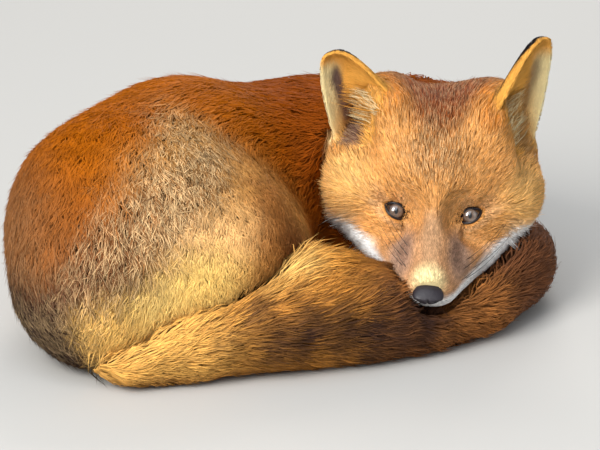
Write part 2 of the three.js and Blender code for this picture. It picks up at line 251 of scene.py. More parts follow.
def pressed_form(name, nodes, grain, rounds):
    """A closed skin over some CAD solids: pressed in by the coat's depth, its facets smoothed away."""
    form = solid_copy(nodes, name, PARTING_CUT)
    stretch(form, grain)
    points = read_points(form.data)
    part = nearest_part(points, nodes)
    depth = np.array([COAT_DEPTH[node] for node in PARTS])[part]
    if "head" in nodes:
        on_muzzle = (part == PARTS.index("head")) * fall(in_head(points)[:, 1], -0.03, 0.015)
        depth += (MUZZLE_DEPTH - depth) * on_muzzle
        depth += (ORBIT_DEPTH - depth) * fall(off_eyes(points), *ORBIT_REACH)
        by_ears = fall(distance_to(points, EARS), EAR_ROOT_REACH / 3, EAR_ROOT_REACH)
        depth += (-EAR_ROOT_RISE - depth) * by_ears
    depth = spread(form.data, depth, int(0.03 / grain))
    points = points - read_normals(form.data) * depth[:, None]
    write_points(form.data, spread(form.data, points, rounds))
    return form


def rod(name, start, end, start_radius, end_radius):
    """A closed tapered rod between two points."""
    work = bmesh.new()
    axis = Vector(end) - Vector(start)
    turn = axis.to_track_quat("Z", "Y").to_matrix().to_4x4()
    turn.translation = (Vector(start) + Vector(end)) / 2
    bmesh.ops.create_cone(work, cap_ends=True, segments=16, radius1=start_radius, radius2=end_radius,
                          depth=axis.length, matrix=turn)
    bmesh.ops.triangulate(work, faces=work.faces)
    return worked_object(name, work)


def sew(whole, others):
    """Joins closed meshes to the whole as one closed mesh."""
    for other in others:
        union = whole.modifiers.new("sew", "BOOLEAN")
        union.operation = "UNION"
        union.solver = "MANIFOLD"
        union.object = other
        bake_modifiers(whole)
        bpy.data.objects.remove(other)


class Ear:
    """An ear's own frame: how far a point lies from its outer to its inner rim, and up to its tip."""

    def __init__(self, node, turn):
        points = read_points(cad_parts[node].data)
        self.points = points
        self.normals = read_normals(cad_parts[node].data)
        self.tip = points[points[:, 2].argmax()]
        self.base = points[points[:, 2] < np.quantile(points[:, 2], 0.12)].mean(0)
        self.axis = unit(self.tip - self.base)
        level = np.array([math.cos(math.radians(turn)), math.sin(math.radians(turn)), 0])
        self.facing = unit(np.cross(level, self.axis))
        self.outward = unit(np.cross(self.facing, self.axis))
        self.outward *= np.sign(self.outward @ across) * (1 if node == EARS[1] else -1)
        self.height = np.linalg.norm(self.tip - self.base)
        reach = (points - self.base) @ self.outward
        self.half = (reach.max() - reach.min()) / 2
        self.mid = (reach.max() + reach.min()) / 2

    def flat(self, points):
        """Outward and upward from the root, in metres."""
        return (points - self.base) @ self.outward, (points - self.base) @ self.axis

    def place(self, points):
        """Across, -1 at the outer rim and 1 at the inner one; up, 0 at the root and 1 at the tip; and ahead
        of the root, in metres."""
        up = (points - self.base) @ self.axis / self.height
        aside = -((points - self.base) @ self.outward - self.mid) / self.half
        return aside, up, (points - self.base) @ self.facing


EAR_TURNS = {"ear_right": -12, "ear_left": 44}      # how far each ear's mouth is turned, in degrees
ears = {name: Ear(name, turn) for name, turn in EAR_TURNS.items()}


def open_ears(points):
    """Sets the form of the head back behind the hollow of each ear, so that it opens to the front."""
    for ear in ears.values():
        front = ear.normals @ ear.facing > 0.1
        tree = KDTree(int(front.sum()))
        for index, (aside, up) in enumerate(zip(*ear.flat(ear.points[front]))):
            tree.insert((aside, up, 0), index)
        tree.balance()
        depths = (ear.points[front] - ear.base) @ ear.facing
        flat = np.stack(ear.flat(points), 1)
        hollow = np.array([depths[tree.find((x, y, 0))[1]] for x, y in flat])
        aside, up, depth = ear.place(points)
        weight = step(aside, -1.0, -0.8) * fall(aside, *EAR_MOUTH_INNER)
        weight *= step(up, *EAR_MOUTH_FOOT) * fall(up, 0.85, 1.0)
        excess = np.maximum(0, depth - hollow + EAR_SETBACK) * (depth < 0.05) * (depth > hollow - 0.004)
        points = points - ear.facing * (excess * weight)[:, None]
    return points


def lid_ball(eye):
    """The ball that the lids are stretched over, before they are cut open."""
    work = bmesh.new()
    bmesh.ops.create_icosphere(work, subdivisions=4, radius=EYE_RADIUS + LID_SWELL)
    bmesh.ops.translate(work, verts=work.verts, vec=Vector(eye_centre(eye)))
    return worked_object("lid_ball", work)


# The lids: each eye looks out through an almond opening, its inner corner drawn down towards the nose.
GAZE_RISE = math.radians(22)
GAZE = unit(np.array([0.0, -math.cos(GAZE_RISE), math.sin(GAZE_RISE)]))
SLIT_SLANT = math.radians(28)
SLIT_HALF = 0.0103          # half the opening's length, and its heights, along the ball
SLIT_UP = 0.0051
SLIT_DOWN = 0.0048
BROW_START = 0.0012         # how far from the lids' line the brow and the bridge of the nose begin to rise,
BROW_SLOPE = 0.75           # and how steeply
CHEEK_SLOPE = 0.55          # how steeply the cheek falls away from them
LID_TUCK = 0.0012           # how far the hide within the opening lies below the ball
LID_EDGE = 0.0006           # how far the lids' edges stand proud of the ball
LID_PLUMP = 0.0008          # how much thicker the lids are beyond their edges
LID_FADE = 0.0042           # how far from the opening the lids meet the form of the head


def eye_frame(eye):
    """Axes for an eye: outwards along the opening, up across it, and along the gaze."""
    side = eye_side(eye)
    out = unit(side * across - GAZE * (side * across @ GAZE))
    up = unit(np.cross(out, GAZE) if side < 0 else np.cross(GAZE, out))
    turned_out = out * math.cos(SLIT_SLANT) + up * math.sin(SLIT_SLANT)
    turned_up = up * math.cos(SLIT_SLANT) - out * math.sin(SLIT_SLANT)
    return np.stack([turned_out, turned_up, GAZE])


def lid_arc(height):
    """The circle of a lid's edge: how far its centre lies beyond the corners' line, and its radius."""
    drop = (SLIT_HALF ** 2 - height ** 2) / (2 * height)
    return drop, height + drop


def shape_orbit(points):
    """Keeps the form round each eye between two cones, so that brow and bridge rise gently from the lids
    and the cheek falls gently away from them."""
    half, height = EYE_RADIUS * np.sin(np.array([SLIT_HALF, SLIT_UP]) / EYE_RADIUS)
    for eye in EYES:
        x, y, ahead = ((points - eye_centre(eye)) @ eye_frame(eye).T).T
        radius = np.hypot(x, y)
        edge_radius = radius / np.maximum(np.hypot(x / half, y / height), 1e-6)
        gap = radius - edge_radius
        edge = np.sqrt((EYE_RADIUS + LID_SWELL) ** 2 - edge_radius ** 2)
        excess = np.maximum(0, ahead - edge - BROW_SLOPE * (gap - BROW_START))
        want = np.maximum(0, edge - CHEEK_SLOPE * gap - ahead) * step(ahead, -0.012, -0.006)
        near = (gap > 0) * fall(radius, *ORBIT_REACH)
        points = points + GAZE * ((want - excess) * near)[:, None]
    return points


hide = pressed_form("hide", TRUNK, BODY_GRAIN, 9)
head_form = pressed_form("head_form", ("head", "neck"), HEAD_GRAIN, 7)
write_points(head_form.data, open_ears(shape_orbit(read_points(head_form.data))))
stretch(head_form, HEAD_GRAIN)
write_points(head_form.data, spread(head_form.data, read_points(head_form.data), 4))
tail_form = pressed_form("tail_form", TAIL, BODY_GRAIN, 9)
leg_forms = [pressed_form(leg + "_form", (leg,), LEG_GRAIN, 4) for leg in LEGS]
ear_forms = []
for ear in EARS:
    ear_form = solid_copy((ear,), ear + "_form", -0.0004)
    rounded = ear_form.modifiers.new("round", "SUBSURF")
    rounded.levels = rounded.render_levels = 2
    bake_modifiers(ear_form)
    ear_forms.append(ear_form)

# Rods inside the animal carry the legs and the brush.
low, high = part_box("tail_root")
tail_base = np.array([low.x + 0.016, high.y - 0.036, 0.021])
carriers = [rod("carrier_tail", tail_base + [0.006, 0.010, 0.004], centre("rump") * [1, 1, 0.8],
                0.024, 0.05),
            rod("carrier_joint", tail_base + [0.006, 0.004, 0.006], tail_base + [0.008, 0.030, 0.036],
                0.024, 0.030)]
for leg, hold in zip(LEGS, ("thigh_right", "rump", "chest", "neck")):
    carriers.append(rod("carrier_" + leg, centre(leg), centre(hold), 0.005, 0.012))
sew(hide, [*carriers, tail_form, *leg_forms, head_form, *ear_forms, *map(lid_ball, EYES)])


def near_face(centres):
    place = in_head(centres)
    ahead = (np.abs(place[:, 0]) < FACE[0]) & (place[:, 1] < FACE[1]) & (place[:, 2] < FACE[2])
    return ahead & (centres[:, 2] > FACE_FOOT)


# The lids are cut open along the almond, and their edges drawn close over the ball.
def off_slit(eye, points):
    """How far each point lies outside the eye's opening, measured along the ball."""
    ray = unit(points - eye_centre(eye)) @ eye_frame(eye).T
    turned = np.arccos(np.clip(ray[:, 2], -1, 1)) * EYE_RADIUS
    x, y = (unit(ray[:, :2]) * turned[:, None]).T
    edges = []
    for height, sense in ((SLIT_UP, 1), (SLIT_DOWN, -1)):
        drop, radius = lid_arc(height)
        edges.append(np.hypot(x, y * sense + drop) - radius)
    return np.maximum(*edges)


def sculpt_lids(points):
    for eye in EYES:
        ray = points - eye_centre(eye)
        reach = np.linalg.norm(ray, axis=1)
        slit = off_slit(eye, points)
        edge = EYE_RADIUS - LID_TUCK + (LID_TUCK + LID_EDGE) * step(slit, -0.0004, 0.0006)
        lid = edge + LID_PLUMP * step(slit, 0.0005, 0.0030)
        fade = step(slit, 0.0010, LID_FADE)
        wanted = lid + (np.maximum(reach, lid) - lid) * fade
        mix = (reach < 0.024) * step(unit(ray) @ GAZE, -0.35, -0.05)
        points = points + unit(ray) * ((wanted - reach) * mix)[:, None]
    return points


refine(hide.data, near_face)
refine(hide.data, lambda centres: off_eyes(centres) < LIDS_REACH)
points = read_points(hide.data)
from_tail_base = np.linalg.norm(points - tail_base - [0, 0.012, 0.012], axis=1)
softer = spread(hide.data, points, 28)
points += (softer - points) * fall(from_tail_base, 0.026, 0.050)[:, None]
for rounds in (20, 8):
    softer = spread(hide.data, points, rounds)
    off = np.min([off_slit(eye, points) for eye in EYES], axis=0)
    soften = step(off, 0.002, 0.005) * fall(off_eyes(points), 0.020, 0.030)
    points = sculpt_lids(shape_orbit(points + (softer - points) * soften[:, None]))
write_points(hide.data, points)


# ---- The markings ----
# What the hide and the coat share: which part each place belongs to, which way the hair lies there, how long
# it is, and its colours at the root and at the tip.

def pigment(red, green, blue):
    """An sRGB colour, 0 to 255, as linear light."""
    share = np.array([red, green, blue]) / 255
    return np.where(share <= 0.04045, share / 12.92, ((share + 0.055) / 1.055) ** 2.4)


def dab(places, middle, reach, soft=0.6):
    """1 within an egg-shaped patch, fading to 0 at its rim."""
    size = np.linalg.norm((places - np.array(middle)) / np.array(reach), axis=1)
    return fall(size, 1 - soft, 1)


def tint(colours, weight, colour):
    return colours + weight[:, None] * (np.array(colour) - colours)


def within(node, x, y, z):
    """The point at these shares of a node's box."""
    low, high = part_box(node)
    return np.array(low) + (np.array(high) - low) * [x, y, z]


def along(points, path, softness):
    """The direction of a path near each point, and how far each point lies from the path's line."""
    path = np.array(path)
    total = np.zeros_like(points)
    middle = np.zeros_like(points)
    weights = np.zeros(len(points))
    for start, end in zip(path[:-1], path[1:]):
        run = end - start
        share = np.clip((points - start) @ run / (run @ run), 0, 1)
        foot = start + share[:, None] * run
        weight = np.exp(-np.sum((points - foot) ** 2, axis=1) / (2 * softness ** 2)) + 1e-12
        total += weight[:, None] * unit(run)
        middle += weight[:, None] * foot
        weights += weight
    return unit(total), points - middle / weights[:, None]


def off_line(places, start, end):
    """How far each place lies from a straight line, and its share of the way along it."""
    start, run = np.array(start), np.array(end) - np.array(start)
    share = np.clip((places - start) @ run / (run @ run), 0, 1)
    return np.linalg.norm(places - start - share[:, None] * run, axis=1), share


def swell(places, size, seed):
    """Smooth noise from -1 to 1 that swells and sinks over the given size."""
    total = np.zeros(len(places))
    draw = np.random.default_rng(seed)
    for _ in range(6):
        wave_vector = draw.normal(size=3) * 2 * math.pi / size * 0.7
        total += np.sin(places @ wave_vector + draw.uniform(0, 2 * math.pi))
    return total / 2.6


points = read_points(hide.data)
normals = read_normals(hide.data)
part = nearest_part(points, PARTS)
share_of = {name: spread(hide.data, (part == PARTS.index(name)).astype(float), 5) for name in PARTS}


def share_in(*names):
    """How far each point belongs to any of several parts."""
    return sum(share_of[name] for name in names)


for group in (TRUNK, TAIL):
    whole = share_in(*group)
    soft = {name: spread(hide.data, share_of[name], 60) for name in group}
    total = np.maximum(sum(soft.values()), 1e-6)
    for name in group:
        share_of[name] = whole * soft[name] / total
head_place = in_head(points) * 1000
slit = np.min([off_slit(eye, points) for eye in EYES], axis=0)
from_each = np.stack([points - eye_centre(eye) for eye in EYES], 1)
round_eyes = off_eyes(points)
from_eye = from_each[np.arange(len(points)), np.linalg.norm(from_each, axis=2).argmin(1)]
by_lids = (round_eyes < 0.02) * fall(slit, 0.0020, 0.0060)

# The lie of the coat.
HIP = within("thigh_right", 0.30, 1.5, 1.15)
spine = [centre(name) for name in ("head", "neck", "chest", "loin", "rump", "tail_root")]
brush_line = [tail_base, centre("tail_root"), centre("tail_middle"), centre("tail_brush"),
              within("tail_tip", 0.5, 0.35, 0.5), within("tail_tip", 0.45, 1.1, 0.4)]
down_spine, _ = along(points, spine, 0.05)
down_brush, off_brush = along(points, brush_line, 0.03)
from_hip = unit(points - HIP)
from_nose = unit(head_place - [0, -92, -4]) @ head_axes
in_front = step(-normals[:, 1], -0.35, 0.35)[:, None]
ears_up = np.stack([ears[name].axis for name in EARS])
ear_reach = np.stack([distance_to(points, (name,)) for name in EARS], 1)
by_ear = share_of["head"] * fall(ear_reach.min(1), 0.002, 0.020)
lie = np.zeros_like(points)
for name in ("neck", "chest", "loin"):
    lie += share_of[name][:, None] * (down_spine - [0, 0, 0.35])
lie += share_of["rump"][:, None] * ((1.5 - in_front) * down_spine + 0.9 * in_front * from_hip - [0, 0, 0.15])
lie += share_of["thigh_right"][:, None] * (from_hip + (1 - in_front) * down_spine + [0.15, 0, 0])
for name in TAIL:
    lie += share_of[name][:, None] * (down_brush + [0, 0, 0.1] + off_brush * [0, 0, 14])
cheek = step(np.abs(head_place[:, 0]), 34, 54) * fall(head_place[:, 2], -10, 14)
falling = cheek[:, None] * (np.sign(head_place[:, :1]) * across * 0.9 - head_axes[2] * 1.2)
to_ear = 1.5 * by_ear[:, None] * ears_up[ear_reach.argmin(1)]
lie += share_of["head"][:, None] * (from_nose + 1.6 * by_lids[:, None] * unit(from_eye) + falling + to_ear)
TOES = {leg: unit(np.array(way))
        for leg, way in zip(LEGS, ((1, 0.6, 0), (1, 0.6, 0), (-1, -0.9, 0), (-1, -0.9, 0)))}
for name in LEGS:
    lie += share_of[name][:, None] * TOES[name]

# An ear's mouth is its hollow, and the dish in the head that opens into it at its foot.
mouths = {}
for name, ear in ears.items():
    aside, up, deep = ear.place(points)
    inner = step(normals @ ear.facing, -0.05, 0.3) * step(aside, -0.7, -0.1) * fall(up, 0.62, 0.85)
    lie += share_of[name][:, None] * (ear.axis + inner[:, None] * (1.9 * ear.outward - 0.35 * ear.axis))
    mouth = (deep > -0.022) & (deep < 0.012) & (aside > -1.05) & (aside < 0.85)
    mouth &= (up > -0.16) & (up < 0.7) & (normals @ ear.facing > -0.2)
    mouths[name] = share_of["head"] * spread(hide.data, mouth.astype(float), 4)
    lie += mouths[name][:, None] * (0.5 * ear.axis + 1.5 * ear.outward) * 1.5
lie = unit(lie)
lie = unit(lie - normals * np.sum(lie * normals, axis=1, keepdims=True))
lie = spread(hide.data, lie, 6)
lie = unit(lie - normals * np.sum(lie * normals, axis=1, keepdims=True))

# Hair length, in metres, and how much the hair waves.
LENGTH = {"head": 0.0085, "neck": 0.021, "chest": 0.023, "loin": 0.024, "rump": 0.019, "thigh_right": 0.0125,
          "tail_root": 0.018, "tail_middle": 0.030, "tail_brush": 0.032, "tail_tip": 0.030,
          "hind_foot_right": 0.006, "hind_foot_left": 0.006, "foreleg_right": 0.006, "foreleg_left": 0.006,
          "ear_right": 0.0045, "ear_left": 0.0045}
WAVE = {"thigh_right": 0.9, "rump": 0.8, "tail_root": 0.35}
length = sum(share_of[name] * LENGTH[name] for name in PARTS)
wave = sum(share_of[name] * WAVE.get(name, 0.12) for name in PARTS)
a, b, c = head_place.T
on_head = share_of["head"]
muzzle = on_head * fall(b, -45, 5)
orbits = on_head * fall(round_eyes, 0.010, 0.026)
ruff = on_head * step(np.abs(a), 36, 60) * fall(c, -8, 22) * fall(b, 30, 60)
nape = on_head * step(b, 50, 85)
for region, long in ((muzzle, 0.0034), (orbits, 0.0036), (by_lids, 0.0016), (ruff, 0.019), (nape, 0.017),
                     (by_ear, 0.012)):
    length += region * (long - length)
for name, ear in ears.items():
    aside, up, _ = ear.place(points)
    tufts = share_of[name] * step(normals @ ear.facing, 0.0, 0.3) * step(aside, -0.5, 0.1)
    tufts *= fall(aside, 0.55, 0.85) * fall(up, 0.5, 0.8)
    length += tufts * (0.017 - length)
tail_share = share_in(*TAIL)
beside_head = 0.004 + 0.7 * distance_to(points, ("head",))
length = np.where(tail_share > 0.5, np.minimum(length, beside_head), length)

# Colours.
BACK = pigment(164, 86, 0)
SHOULDER = pigment(132, 62, 4)
SAND = pigment(208, 148, 78)
GRIZZLE = pigment(112, 78, 50)
CREAM = pigment(240, 216, 168)
WHITE = pigment(253, 251, 248)
BLACK = pigment(26, 22, 24)

colour = np.zeros_like(points)
for name, base in (("neck", SHOULDER), ("chest", SHOULDER), ("loin", BACK), ("rump", BACK),
                   ("thigh_right", SAND), ("tail_root", pigment(236, 178, 92)),
                   ("tail_middle", pigment(230, 154, 64)), ("tail_brush", pigment(176, 112, 56)),
                   ("tail_tip", pigment(120, 74, 46)),
                   ("head", pigment(230, 160, 86)), *((leg, BLACK) for leg in LEGS),
                   *((ear, SAND) for ear in EARS)):
    colour += share_of[name][:, None] * base

# Trunk and haunch: a deep orange saddle, grizzled on the flank, gold low on the thigh and brightened there
# by painted light, cream on the belly.
trunk = share_in(*TRUNK)
haunch = share_in("rump", "thigh_right")
colour = tint(colour, trunk * fall(points[:, 2], 0.004, 0.03) * step(-normals[:, 2], -0.2, 0.6), CREAM)
# The palest gold patches low on the thigh are partly its own colour and partly painted light.
patches = ((("thigh_right", 0.48, 0.60, 0.97), (0.038, 0.09, 0.026), (230, 164, 74)),
           (("thigh_right", 0.80, 0.40, 0.72), (0.028, 0.09, 0.050), (178, 114, 56)),
           (("thigh_right", 0.52, 0.16, 0.66), (0.052, 0.09, 0.030), (252, 198, 130)),
           (("thigh_right", 0.47, 0.05, 0.48), (0.052, 0.09, 0.040), (255, 212, 122)),
           (("thigh_right", 0.26, 0.10, 0.22), (0.052, 0.09, 0.040), (255, 212, 126)),
           (("thigh_right", 0.25, 0.02, 0.40), (0.050, 0.07, 0.034), (255, 216, 130)),
           (("rump", 0.06, 0.36, 0.54), (0.085, 0.14, 0.085), (132, 84, 46)),
           (("rump", 0.14, 0.20, 0.14), (0.094, 0.11, 0.080), (58, 36, 26)))
for place, reach, shade in patches:
    colour = tint(colour, haunch * dab(points, within(*place), reach, 0.75) * 0.95, pigment(*shade))

# A grizzled band runs down from the hip to the foot of the rump, darker towards its lower end.
off_band, down_band = off_line(points[:, ::2], within("thigh_right", 0.45, 0, 0.88)[::2],
                               within("rump", 0.14, 0, 0.19)[::2])
grey_patch = haunch * fall(off_band + 0.004 * swell(points, 0.02, 11), 0.008, 0.042)
grey_patch *= step(-normals[:, 1], -0.25, 0.2)
colour = tint(colour, grey_patch * 0.8, GRIZZLE)
low_band = step(down_band, 0.22, 0.85)
colour = tint(colour, grey_patch * 0.7 * low_band, pigment(80, 56, 44))
# Painted shade: the brush is darker orange low down, next to the floor.
colour = tint(colour, tail_share * fall(points[:, 2], 0.004, 0.018) * 0.8, pigment(150, 82, 30))
# Painted shade at the knee, where the edge of the thigh turns away from the light.
knee_shade = haunch * dab(points, within("thigh_right", 0.98, 0.4, 0.58), (0.034, 0.06, 0.058), 0.7)
colour = tint(colour, knee_shade, pigment(108, 56, 30))

# Brush: gold at the root, orange along its crest with a pale gold patch of painted light, smoky dark hair
# below and towards the chin, deepened there by painted shade under the resting head, white at the tip.
off_smoke_and_shade, _ = off_line(points[:, ::2], within("tail_middle", 0.38, 0, 0.40)[::2],
                        within("tail_brush", 0.50, 0, 0.42)[::2])
ragged = 0.008 * swell(points, 0.020, 12) + 0.004 * swell(points, 0.007, 13)
smoke_and_shade = fall(off_smoke_and_shade + ragged, -0.008, 0.048)
lit_crest = dab(points, within("tail_middle", 0.30, 0.3, 0.94), (0.060, 0.06, 0.032), 0.8)
# Partly painted shade: the dark below and towards the chin.
colour = tint(colour, tail_share * smoke_and_shade, pigment(60, 40, 34))
# Painted light: the pale gold on the crest.
colour = tint(colour, tail_share * lit_crest * 0.95, pigment(255, 216, 130))
joint = (tail_share + haunch) * dab(points, within("tail_root", 0.22, 0.45, 0.85), (0.042, 0.06, 0.036), 0.7)
colour = tint(colour, joint * 0.9, pigment(246, 194, 106))
low_rump = haunch * dab(points, within("rump", 0.19, 0.21, 0.24), (0.046, 0.10, 0.056), 0.7)
colour = tint(colour, low_rump * 0.95, pigment(52, 38, 32))
# Painted light where the light falls, on the thigh and on the brush's crest: it lightens the roots there.
lit_thigh = haunch * dab(points, within("thigh_right", 0.30, 0.05, 0.35), (0.06, 0.08, 0.045))
lit = tail_share * lit_crest + lit_thigh
white_tip = tail_share * dab(points, within("tail_tip", 0.45, 1.05, 0.4), (0.06, 0.042, 0.05), 0.5)
colour = tint(colour, white_tip, WHITE)


# Face, in millimetres across, back and up from between the eyes.
def face_dabs(colours, *dabs):
    """Paints soft patches on both sides: each one's middle, reach, colour, strength and soft rim."""
    for middle, reach, shade, strength, soft in dabs:
        for side in (-1, 1):
            here = (middle[0] * side, middle[1], middle[2])
            weight = on_head * strength * dab(head_place, here, reach, soft)
            colours = tint(colours, weight, pigment(*shade))
    return colours


colour = face_dabs(colour, ((48, 52, 44), (30, 34, 34), (214, 144, 60), 0.95, 0.7),
                   ((60, 18, 6), (28, 36, 30), (242, 186, 108), 0.85, 0.7))
forehead = on_head * dab(head_place, (0, 22, 34), (34, 44, 34), 0.7)
colour = tint(colour, forehead * 0.9, pigment(142, 90, 46))
colour = face_dabs(colour, ((0, 54, 56), (36, 42, 32), (138, 72, 36), 0.95, 0.7),
                   ((14, 70, 62), (34, 30, 28), (138, 72, 36), 0.95, 0.7),
                   ((26, 15, 14), (16, 15, 13), (255, 234, 204), 0.9, 0.7),
                   ((11, -8, 12), (8, 18, 12), (176, 122, 74), 0.6, 0.7),
                   ((50, 12, -14), (20, 26, 17), (255, 226, 190), 0.9, 0.7),
                   ((32, -2, -14), (15, 12, 9), (254, 222, 184), 0.75, 0.7),
                   ((17, -14, -2), (6, 12, 7), (120, 72, 44), 0.6, 0.7))
colour = tint(colour, on_head * fall(b, -50, -8) * 0.8, pigment(198, 150, 112))
colour = face_dabs(colour, ((21, -46, 3), (15, 36, 20), (188, 152, 130), 0.85, 0.7),
                   ((19, -46, 5), (9, 22, 12), (126, 92, 76), 0.6, 0.7),
                   ((0, -45, 14), (9, 36, 14), (196, 152, 112), 0.8, 0.7),
                   ((0, -82, 10), (19, 21, 18), (252, 230, 172), 0.95, 0.9))
white_line = -4.5 - 0.17 * (b + 84) + 9 * step(np.abs(a), 38, 56)
whiteness = on_head * fall(c, white_line - 3, white_line + 3) * fall(b, 30, 60)
colour = tint(colour, whiteness, WHITE)
colour = face_dabs(colour, ((25, -52, -5), (7, 13, 4), (70, 60, 62), 0.3, 0.7))
pale_rim = (round_eyes < 0.02) * step(slit, 0.0014, 0.0022) * fall(slit, 0.0030, 0.0060)
colour = tint(colour, 0.3 * pale_rim, pigment(232, 196, 158))
mouth_line = on_head * np.exp(-((c - white_line + 5.5) / 0.8) ** 2)
mouth_line *= step(b, -82, -76) * fall(b, -36, -28)
colour = tint(colour, 0.85 * by_ear * fall(b, 66, 80), pigment(210, 122, 34))
colour = tint(colour, on_head * step(b, 64, 82) * step(c, 10, 40), SHOULDER)

# Ears: cream down the outer rim, a dark streak of painted shade down the hollow, gold to the inner rim;
# black behind.
SHADE_STREAK = ((-0.62, 0.62), (-0.05, -0.02))    # its two ends, across and up an ear
SHADE_STREAK_STRENGTH = {"ear_right": 0.9, "ear_left": 0.5}
for name, ear in ears.items():
    aside, up, _ = ear.place(points)
    facing = normals @ ear.facing
    wrap = 0.42 * step(aside, -0.3, 0.3)
    inside = step(facing, -0.45 - wrap, -0.2 - wrap)
    lining = np.zeros_like(points) + pigment(236, 170, 78)
    lining = tint(lining, fall(aside, -0.85, -0.3) * fall(up, 0.72, 0.9), pigment(255, 234, 176))
    off_shade_streak, run = off_line(np.stack([aside, up], 1), *SHADE_STREAK)
    shade_streak = fall(off_shade_streak, 0.06 + 0.06 * run, 0.22 + 0.14 * run)
    # Painted shade: each hollow is painted dark down its middle, more on one ear than the other.
    lining = tint(lining, shade_streak * SHADE_STREAK_STRENGTH[name], pigment(78, 56, 66))
    shell = np.zeros_like(points) + pigment(150, 90, 46)
    shell = tint(shell, step(up, 0.1, 0.45), BLACK)
    colour = tint(colour, share_of[name], 0)
    colour += share_of[name][:, None] * (shell + inside[:, None] * (lining - shell))
    colour += np.clip(mouths[name], 0, 1)[:, None] * (lining - colour)

# Roots and hide are darker than the hair along its length, save where painted light lightens the roots;
# the lids and the mouth line are black.
lid_black = (round_eyes < 0.02) * fall(slit, 0.0009, 0.0012)
back_share = share_in("neck", "chest", "loin")
ear_share = share_in(*EARS)
root_colour = tint(colour * (0.6 + 0.22 * back_share + 0.12 * haunch)[:, None],
                   0.45 * (trunk + tail_share - back_share) * (1 - 0.8 * lit) * (1 - 0.5 * haunch),
                   pigment(110, 78, 58))
# Painted light: the roots are lighter on the lit crest and the lit thigh.
root_colour += lit[:, None] * (colour * 0.85 - root_colour)
root_colour = tint(root_colour, grey_patch * 0.9, pigment(62, 45, 36))
root_colour = tint(root_colour, whiteness, WHITE * 0.92)
root_colour = tint(root_colour, ear_share, 0)
root_colour += ear_share[:, None] * colour * 0.85
hide_colour = colour * (0.8 + 0.15 * whiteness - 0.4 * grey_patch + 0.15 * ear_share)[:, None]
hide_colour = tint(hide_colour, np.maximum(lid_black, mouth_line), BLACK)


def paint(mesh, colours):
    """Gives each vertex of a mesh its colour, as the tone that coat_material takes up."""
    tone = mesh.attributes.new("tone", "FLOAT_COLOR", "POINT")
    opaque = np.ones((len(colours), 1))
    tone.data.foreach_set("color", np.concatenate([colours, opaque], 1).astype(np.float32).ravel())


def feed(material, node, inputs):
    """Sets a node's inputs, or links them to the outputs of other nodes."""
    for name, value in inputs.items():
        if isinstance(value, bpy.types.NodeSocket):
            material.node_tree.links.new(value, node.inputs[name])
        else:
            node.inputs[name].default_value = value


def add_node(material, kind, output, inputs, **settings):
    """Adds a node to a material, and returns one of its outputs."""
    node = material.node_tree.nodes.new("ShaderNode" + kind)
    for setting, value in settings.items():
        setattr(node, setting, value)
    feed(material, node, inputs)
    return node.outputs[output]


def feed_shader(material, inputs):
    feed(material, material.node_tree.nodes["Principled BSDF"], inputs)


def new_material(name, inputs):
    material = bpy.data.materials.new(name)
    material.use_nodes = True
    feed_shader(material, inputs)
    return material


def coat_material(name, roughness):
    """A finish that takes its colour from the piece's own tone."""
    material = new_material(name, {"Roughness": roughness, "Specular IOR Level": 0.07})
    tones = add_node(material, "Attribute", "Color", {}, attribute_name="tone")
    feed_shader(material, {"Base Color": tones})
    return material


paint(hide.data, hide_colour)
hide.data.shade_smooth()
hide.data.materials.clear()
hide.data.materials.append(coat_material("hide", 0.7))
hide.data.polygons.foreach_set("material_index", np.zeros(len(hide.data.polygons), np.int32))
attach(hide, "root")
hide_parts(*PARTS)


# ---- The coat ----
# Guard hair in thin tapering locks over every part of the hide. Each lock is a closed three-sided spike,
# sunk in the hide at its root and bent back along the lie of the coat; locks draw together at their tips.

rng = np.random.default_rng(20)
triangles = np.array([(face.vertices[0], face.vertices[k], face.vertices[k + 1])
                      for face in hide.data.polygons for k in range(1, len(face.vertices) - 1)])
corner_points = points[triangles]
area = np.linalg.norm(np.cross(corner_points[:, 1] - corner_points[:, 0],
                               corner_points[:, 2] - corner_points[:, 0]), axis=1) / 2
hide_tree = BVHTree.FromPolygons(points.tolist(), triangles.tolist())


def unwrap(places, directions):
    """A place on the unwrap of a piece of hide: six flat charts, one for each way that the hide faces."""
    low = places.min(0)
    size = (places.max(0) - low).max()
    share = (places - low) / size
    axis = np.abs(directions).argmax(1)
    rows = np.arange(len(places))
    sign = directions[rows, axis] > 0
    u = share[rows, (axis + 1) % 3]
    v = share[rows, (axis + 2) % 3]
    return np.stack([(axis + u * 0.97) / 3, (sign + v * 0.97) / 2], 1)


RING_PLACES = {1: (0.42,), 2: (0.25, 0.65)}     # where a lock's rings lie along it
RING_GIRTHS = {1: (1.0,), 2: (1.0, 0.75)}
ROOT_DEPTH = 0.0008     # how deep a lock's root is sunk in the hide
COVER = 0.9             # how much of the coat's depth the locks lift through
TIP_FLOOR = 0.0006      # how close a lock's tip and its bend come to the floor
BEND_FLOOR = 0.0008
SLEEK_DEPTH = 0.0012    # the coat's depth on the muzzle and the ears
BODY_LOCK = 0.00095     # the locks' widths
HEAD_LOCK = 0.00062
MUZZLE_LOCK = 0.00048
CRIMP = 0.16            # how far a wavy lock bends aside, against its length
NAP = 0.62              # how far the coat is lit as the form below it, from 0 to 1
SCORCH = pigment(60, 42, 34)        # the locks' dark tips, and their pale ones
BLEACH = pigment(238, 200, 146)


